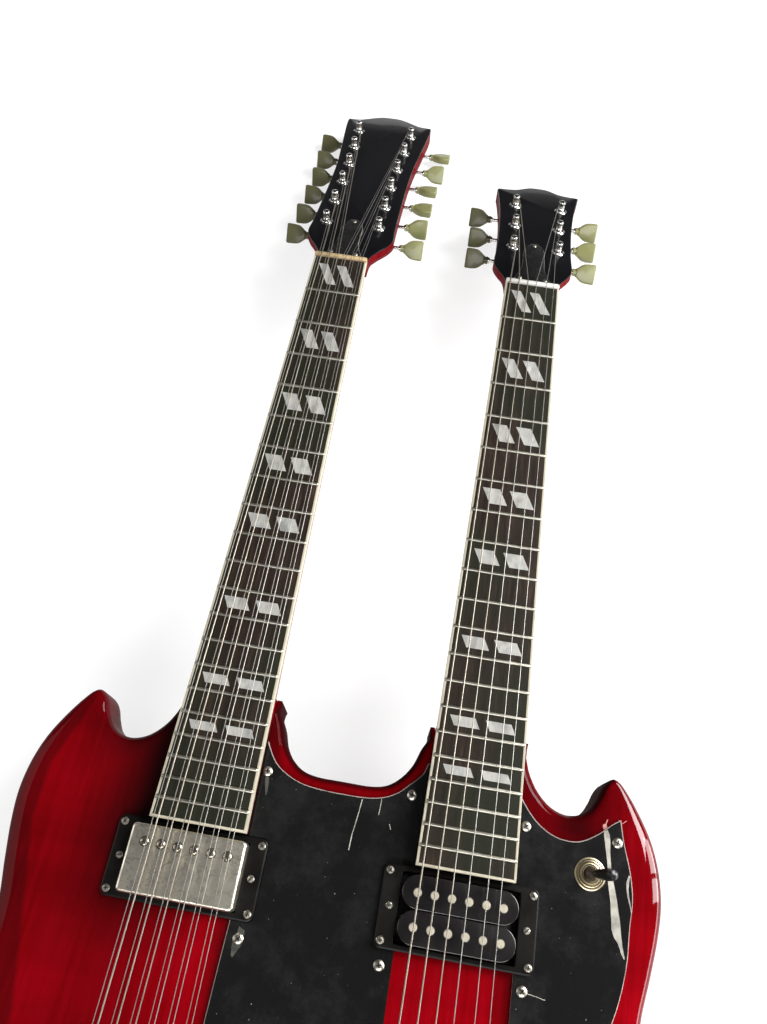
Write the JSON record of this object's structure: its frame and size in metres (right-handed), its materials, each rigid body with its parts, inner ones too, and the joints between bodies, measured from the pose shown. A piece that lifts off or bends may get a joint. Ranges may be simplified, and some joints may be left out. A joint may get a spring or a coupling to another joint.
{
  "type": "double-neck guitar",
  "caption": "Double-neck solid-body electric guitar with a horned body, paired courses on one neck, single strings on the other, and turning tuners, knobs and switches.",
  "frame": {"origin": "on the flat back of the body, midway between the two necks, under the saddle line", "axes": "+Y along the strings towards the headstocks, +Z out of the front, +X from the paired-course neck to the single-string neck"},
  "size_m": [0.4376, 1.0787, 0.1082],
  "materials": {
    "cherry_lacquer": "gloss",
    "neck_lacquer": "gloss",
    "dark_rosewood": "satin",
    "bone_and_steel": "satin",
    "black_guard": "gloss",
    "black_plastic": "gloss",
    "nickel_cover": "worn",
    "bridge_metal": "polished",
    "tuner_metal": "polished",
    "aged_green_plastic": "gloss"
  },
  "bodies": {
    "guitar": {"body": "cherry_lacquer", "neck_12": "neck_lacquer", "fretboard_12": "dark_rosewood", "nut_and_strings_12": "bone_and_steel", "neck_6": "neck_lacquer", "fretboard_6": "dark_rosewood", "nut_and_strings_6": "bone_and_steel", "pickguard": "black_guard", "pickup_ring_12_neck": "black_plastic", "pickup_ring_6_neck": "black_plastic", "pickup_12_bridge": "nickel_cover", "pickup_6_bridge": "black_plastic", "bridge_12": "bridge_metal", "tailpiece_12": "bridge_metal", "bridge_6": "bridge_metal", "tailpiece_6": "bridge_metal"},
    "tuner_post_12_left_1_body": {"tuner_post_12_left_1": "tuner_metal"},
    "tuner_button_12_left_1_body": {"tuner_button_12_left_1": "aged_green_plastic"},
    "tuner_post_12_left_2_body": {"tuner_post_12_left_2": "tuner_metal"},
    "tuner_button_12_left_2_body": {"tuner_button_12_left_2": "aged_green_plastic"},
    "tuner_post_12_left_3_body": {"tuner_post_12_left_3": "tuner_metal"},
    "tuner_button_12_left_3_body": {"tuner_button_12_left_3": "aged_green_plastic"},
    "tuner_post_12_left_4_body": {"tuner_post_12_left_4": "tuner_metal"},
    "tuner_button_12_left_4_body": {"tuner_button_12_left_4": "aged_green_plastic"},
    "tuner_post_12_left_5_body": {"tuner_post_12_left_5": "tuner_metal"},
    "tuner_button_12_left_5_body": {"tuner_button_12_left_5": "aged_green_plastic"},
    "tuner_post_12_left_6_body": {"tuner_post_12_left_6": "tuner_metal"},
    "tuner_button_12_left_6_body": {"tuner_button_12_left_6": "aged_green_plastic"},
    "tuner_post_12_right_1_body": {"tuner_post_12_right_1": "tuner_metal"},
    "tuner_button_12_right_1_body": {"tuner_button_12_right_1": "aged_green_plastic"},
    "tuner_post_12_right_2_body": {"tuner_post_12_right_2": "tuner_metal"},
    "tuner_button_12_right_2_body": {"tuner_button_12_right_2": "aged_green_plastic"},
    "tuner_post_12_right_3_body": {"tuner_post_12_right_3": "tuner_metal"},
    "tuner_button_12_right_3_body": {"tuner_button_12_right_3": "aged_green_plastic"},
    "tuner_post_12_right_4_body": {"tuner_post_12_right_4": "tuner_metal"},
    "tuner_button_12_right_4_body": {"tuner_button_12_right_4": "aged_green_plastic"},
    "tuner_post_12_right_5_body": {"tuner_post_12_right_5": "tuner_metal"},
    "tuner_button_12_right_5_body": {"tuner_button_12_right_5": "aged_green_plastic"},
    "tuner_post_12_right_6_body": {"tuner_post_12_right_6": "tuner_metal"},
    "tuner_button_12_right_6_body": {"tuner_button_12_right_6": "aged_green_plastic"},
    "tuner_post_6_left_1_body": {"tuner_post_6_left_1": "tuner_metal"},
    "tuner_button_6_left_1_body": {"tuner_button_6_left_1": "aged_green_plastic"},
    "tuner_post_6_left_2_body": {"tuner_post_6_left_2": "tuner_metal"},
    "tuner_button_6_left_2_body": {"tuner_button_6_left_2": "aged_green_plastic"},
    "tuner_post_6_left_3_body": {"tuner_post_6_left_3": "tuner_metal"},
    "tuner_button_6_left_3_body": {"tuner_button_6_left_3": "aged_green_plastic"},
    "tuner_post_6_right_1_body": {"tuner_post_6_right_1": "tuner_metal"},
    "tuner_button_6_right_1_body": {"tuner_button_6_right_1": "aged_green_plastic"},
    "tuner_post_6_right_2_body": {"tuner_post_6_right_2": "tuner_metal"},
    "tuner_button_6_right_2_body": {"tuner_button_6_right_2": "aged_green_plastic"},
    "tuner_post_6_right_3_body": {"tuner_post_6_right_3": "tuner_metal"},
    "tuner_button_6_right_3_body": {"tuner_button_6_right_3": "aged_green_plastic"},
    "pickup_12_neck_body": {"pickup_12_neck": "nickel_cover"},
    "pickup_6_neck_body": {"pickup_6_neck": "black_plastic"},
    "knob_1_body": {"knob_1": "black_plastic"},
    "knob_2_body": {"knob_2": "black_plastic"},
    "knob_3_body": {"knob_3": "black_plastic"},
    "knob_4_body": {"knob_4": "black_plastic"},
    "pickup_selector_body": {"pickup_selector": "black_plastic"},
    "neck_selector_body": {"neck_selector": "black_plastic"}
  },
  "joints": [
    {"name": "tuner_post_12_left_1_turn", "type": "hinge", "parent": "guitar", "child": "tuner_post_12_left_1_body", "pos_m": [-0.1037, 0.68804, 0.03201], "axis": [0, 0.2588, 0.9659], "continuous": true},
    {"name": "tuner_button_12_left_1_turn", "type": "hinge", "parent": "guitar", "child": "tuner_button_12_left_1_body", "pos_m": [-0.1037, 0.68923, 0.01057], "axis": [-1, 0, 0], "continuous": true},
    {"name": "tuner_post_12_left_2_turn", "type": "hinge", "parent": "guitar", "child": "tuner_post_12_left_2_body", "pos_m": [-0.10339, 0.72301, 0.02264], "axis": [0, 0.2588, 0.9659], "continuous": true},
    {"name": "tuner_button_12_left_2_turn", "type": "hinge", "parent": "guitar", "child": "tuner_button_12_left_2_body", "pos_m": [-0.10339, 0.7242, 0.0012], "axis": [-1, 0, 0], "continuous": true},
    {"name": "tuner_post_12_left_3_turn", "type": "hinge", "parent": "guitar", "child": "tuner_post_12_left_3_body", "pos_m": [-0.10336, 0.75797, 0.01327], "axis": [0, 0.2588, 0.9659], "continuous": true},
    {"name": "tuner_button_12_left_3_turn", "type": "hinge", "parent": "guitar", "child": "tuner_button_12_left_3_body", "pos_m": [-0.10336, 0.75917, -0.00817], "axis": [-1, 0, 0], "continuous": true},
    {"name": "tuner_post_12_left_4_turn", "type": "hinge", "parent": "guitar", "child": "tuner_post_12_left_4_body", "pos_m": [-0.10386, 0.79294, 0.0039], "axis": [0, 0.2588, 0.9659], "continuous": true},
    {"name": "tuner_button_12_left_4_turn", "type": "hinge", "parent": "guitar", "child": "tuner_button_12_left_4_body", "pos_m": [-0.10386, 0.79413, -0.01754], "axis": [-1, 0, 0], "continuous": true},
    {"name": "tuner_post_12_left_5_turn", "type": "hinge", "parent": "guitar", "child": "tuner_post_12_left_5_body", "pos_m": [-0.10552, 0.82791, -0.00547], "axis": [0, 0.2588, 0.9659], "continuous": true},
    {"name": "tuner_button_12_left_5_turn", "type": "hinge", "parent": "guitar", "child": "tuner_button_12_left_5_body", "pos_m": [-0.10552, 0.8291, -0.02691], "axis": [-1, 0, 0], "continuous": true},
    {"name": "tuner_post_12_left_6_turn", "type": "hinge", "parent": "guitar", "child": "tuner_post_12_left_6_body", "pos_m": [-0.10721, 0.86287, -0.01484], "axis": [0, 0.2588, 0.9659], "continuous": true},
    {"name": "tuner_button_12_left_6_turn", "type": "hinge", "parent": "guitar", "child": "tuner_button_12_left_6_body", "pos_m": [-0.10721, 0.86407, -0.03628], "axis": [-1, 0, 0], "continuous": true},
    {"name": "tuner_post_12_right_1_turn", "type": "hinge", "parent": "guitar", "child": "tuner_post_12_right_1_body", "pos_m": [-0.0573, 0.68804, 0.03201], "axis": [0, 0.2588, 0.9659], "continuous": true},
    {"name": "tuner_button_12_right_1_turn", "type": "hinge", "parent": "guitar", "child": "tuner_button_12_right_1_body", "pos_m": [-0.0573, 0.68923, 0.01057], "axis": [1, 0, 0], "continuous": true},
    {"name": "tuner_post_12_right_2_turn", "type": "hinge", "parent": "guitar", "child": "tuner_post_12_right_2_body", "pos_m": [-0.05761, 0.72301, 0.02264], "axis": [0, 0.2588, 0.9659], "continuous": true},
    {"name": "tuner_button_12_right_2_turn", "type": "hinge", "parent": "guitar", "child": "tuner_button_12_right_2_body", "pos_m": [-0.05761, 0.7242, 0.0012], "axis": [1, 0, 0], "continuous": true},
    {"name": "tuner_post_12_right_3_turn", "type": "hinge", "parent": "guitar", "child": "tuner_post_12_right_3_body", "pos_m": [-0.05764, 0.75797, 0.01327], "axis": [0, 0.2588, 0.9659], "continuous": true},
    {"name": "tuner_button_12_right_3_turn", "type": "hinge", "parent": "guitar", "child": "tuner_button_12_right_3_body", "pos_m": [-0.05764, 0.75917, -0.00817], "axis": [1, 0, 0], "continuous": true},
    {"name": "tuner_post_12_right_4_turn", "type": "hinge", "parent": "guitar", "child": "tuner_post_12_right_4_body", "pos_m": [-0.05714, 0.79294, 0.0039], "axis": [0, 0.2588, 0.9659], "continuous": true},
    {"name": "tuner_button_12_right_4_turn", "type": "hinge", "parent": "guitar", "child": "tuner_button_12_right_4_body", "pos_m": [-0.05714, 0.79413, -0.01754], "axis": [1, 0, 0], "continuous": true},
    {"name": "tuner_post_12_right_5_turn", "type": "hinge", "parent": "guitar", "child": "tuner_post_12_right_5_body", "pos_m": [-0.05548, 0.82791, -0.00547], "axis": [0, 0.2588, 0.9659], "continuous": true},
    {"name": "tuner_button_12_right_5_turn", "type": "hinge", "parent": "guitar", "child": "tuner_button_12_right_5_body", "pos_m": [-0.05548, 0.8291, -0.02691], "axis": [1, 0, 0], "continuous": true},
    {"name": "tuner_post_12_right_6_turn", "type": "hinge", "parent": "guitar", "child": "tuner_post_12_right_6_body", "pos_m": [-0.05379, 0.86287, -0.01484], "axis": [0, 0.2588, 0.9659], "continuous": true},
    {"name": "tuner_button_12_right_6_turn", "type": "hinge", "parent": "guitar", "child": "tuner_button_12_right_6_body", "pos_m": [-0.05379, 0.86407, -0.03628], "axis": [1, 0, 0], "continuous": true},
    {"name": "tuner_post_6_left_1_turn", "type": "hinge", "parent": "guitar", "child": "tuner_post_6_left_1_body", "pos_m": [0.06073, 0.68804, 0.03201], "axis": [0, 0.2588, 0.9659], "continuous": true},
    {"name": "tuner_button_6_left_1_turn", "type": "hinge", "parent": "guitar", "child": "tuner_button_6_left_1_body", "pos_m": [0.06073, 0.68923, 0.01057], "axis": [-1, 0, 0], "continuous": true},
    {"name": "tuner_post_6_left_2_turn", "type": "hinge", "parent": "guitar", "child": "tuner_post_6_left_2_body", "pos_m": [0.06063, 0.72252, 0.02277], "axis": [0, 0.2588, 0.9659], "continuous": true},
    {"name": "tuner_button_6_left_2_turn", "type": "hinge", "parent": "guitar", "child": "tuner_button_6_left_2_body", "pos_m": [0.06063, 0.72372, 0.00133], "axis": [-1, 0, 0], "continuous": true},
    {"name": "tuner_post_6_left_3_turn", "type": "hinge", "parent": "guitar", "child": "tuner_post_6_left_3_body", "pos_m": [0.05931, 0.75701, 0.01353], "axis": [0, 0.2588, 0.9659], "continuous": true},
    {"name": "tuner_button_6_left_3_turn", "type": "hinge", "parent": "guitar", "child": "tuner_button_6_left_3_body", "pos_m": [0.05931, 0.7582, -0.00791], "axis": [-1, 0, 0], "continuous": true},
    {"name": "tuner_post_6_right_1_turn", "type": "hinge", "parent": "guitar", "child": "tuner_post_6_right_1_body", "pos_m": [0.09967, 0.68804, 0.03201], "axis": [0, 0.2588, 0.9659], "continuous": true},
    {"name": "tuner_button_6_right_1_turn", "type": "hinge", "parent": "guitar", "child": "tuner_button_6_right_1_body", "pos_m": [0.09967, 0.68923, 0.01057], "axis": [1, 0, 0], "continuous": true},
    {"name": "tuner_post_6_right_2_turn", "type": "hinge", "parent": "guitar", "child": "tuner_post_6_right_2_body", "pos_m": [0.09977, 0.72252, 0.02277], "axis": [0, 0.2588, 0.9659], "continuous": true},
    {"name": "tuner_button_6_right_2_turn", "type": "hinge", "parent": "guitar", "child": "tuner_button_6_right_2_body", "pos_m": [0.09977, 0.72372, 0.00133], "axis": [1, 0, 0], "continuous": true},
    {"name": "tuner_post_6_right_3_turn", "type": "hinge", "parent": "guitar", "child": "tuner_post_6_right_3_body", "pos_m": [0.10109, 0.75701, 0.01353], "axis": [0, 0.2588, 0.9659], "continuous": true},
    {"name": "tuner_button_6_right_3_turn", "type": "hinge", "parent": "guitar", "child": "tuner_button_6_right_3_body", "pos_m": [0.10109, 0.7582, -0.00791], "axis": [1, 0, 0], "continuous": true},
    {"name": "pickup_12_neck_height", "type": "slide", "parent": "guitar", "child": "pickup_12_neck_body", "axis": [0, 0, 1], "range_m": [-0.003, 0.001]},
    {"name": "pickup_6_neck_height", "type": "slide", "parent": "guitar", "child": "pickup_6_neck_body", "axis": [0, 0, 1], "range_m": [-0.003, 0.001]},
    {"name": "knob_1_turn", "type": "hinge", "parent": "guitar", "child": "knob_1_body", "pos_m": [0.14935, 0.02282, 0.0383], "axis": [0, 0, 1], "range_deg": [-150, 150]},
    {"name": "knob_2_turn", "type": "hinge", "parent": "guitar", "child": "knob_2_body", "pos_m": [0.18432, 0.00268, 0.0383], "axis": [0, 0, 1], "range_deg": [-150, 150]},
    {"name": "knob_3_turn", "type": "hinge", "parent": "guitar", "child": "knob_3_body", "pos_m": [0.14935, -0.02805, 0.0383], "axis": [0, 0, 1], "range_deg": [-150, 150]},
    {"name": "knob_4_turn", "type": "hinge", "parent": "guitar", "child": "knob_4_body", "pos_m": [0.18432, -0.04785, 0.0383], "axis": [0, 0, 1], "range_deg": [-150, 150]},
    {"name": "pickup_selector_tilt", "type": "hinge", "parent": "guitar", "child": "pickup_selector_body", "pos_m": [0.15282, 0.1995, 0.0419], "axis": [0, 1, 0], "range_deg": [-40, 0]},
    {"name": "neck_selector_tilt", "type": "hinge", "parent": "guitar", "child": "neck_selector_body", "pos_m": [0, 0.0349, 0.0419], "axis": [0, 1, 0], "range_deg": [-40, 0]}
  ],
  "couplings": [
    {"joint": "tuner_post_12_left_1_turn", "follows": "tuner_button_12_left_1_turn", "ratio": 0.066667},
    {"joint": "tuner_post_12_left_2_turn", "follows": "tuner_button_12_left_2_turn", "ratio": 0.066667},
    {"joint": "tuner_post_12_left_3_turn", "follows": "tuner_button_12_left_3_turn", "ratio": 0.066667},
    {"joint": "tuner_post_12_left_4_turn", "follows": "tuner_button_12_left_4_turn", "ratio": 0.066667},
    {"joint": "tuner_post_12_left_5_turn", "follows": "tuner_button_12_left_5_turn", "ratio": 0.066667},
    {"joint": "tuner_post_12_left_6_turn", "follows": "tuner_button_12_left_6_turn", "ratio": 0.066667},
    {"joint": "tuner_post_12_right_1_turn", "follows": "tuner_button_12_right_1_turn", "ratio": 0.066667},
    {"joint": "tuner_post_12_right_2_turn", "follows": "tuner_button_12_right_2_turn", "ratio": 0.066667},
    {"joint": "tuner_post_12_right_3_turn", "follows": "tuner_button_12_right_3_turn", "ratio": 0.066667},
    {"joint": "tuner_post_12_right_4_turn", "follows": "tuner_button_12_right_4_turn", "ratio": 0.066667},
    {"joint": "tuner_post_12_right_5_turn", "follows": "tuner_button_12_right_5_turn", "ratio": 0.066667},
    {"joint": "tuner_post_12_right_6_turn", "follows": "tuner_button_12_right_6_turn", "ratio": 0.066667},
    {"joint": "tuner_post_6_left_1_turn", "follows": "tuner_button_6_left_1_turn", "ratio": 0.066667},
    {"joint": "tuner_post_6_left_2_turn", "follows": "tuner_button_6_left_2_turn", "ratio": 0.066667},
    {"joint": "tuner_post_6_left_3_turn", "follows": "tuner_button_6_left_3_turn", "ratio": 0.066667},
    {"joint": "tuner_post_6_right_1_turn", "follows": "tuner_button_6_right_1_turn", "ratio": 0.066667},
    {"joint": "tuner_post_6_right_2_turn", "follows": "tuner_button_6_right_2_turn", "ratio": 0.066667},
    {"joint": "tuner_post_6_right_3_turn", "follows": "tuner_button_6_right_3_turn", "ratio": 0.066667}
  ]
}
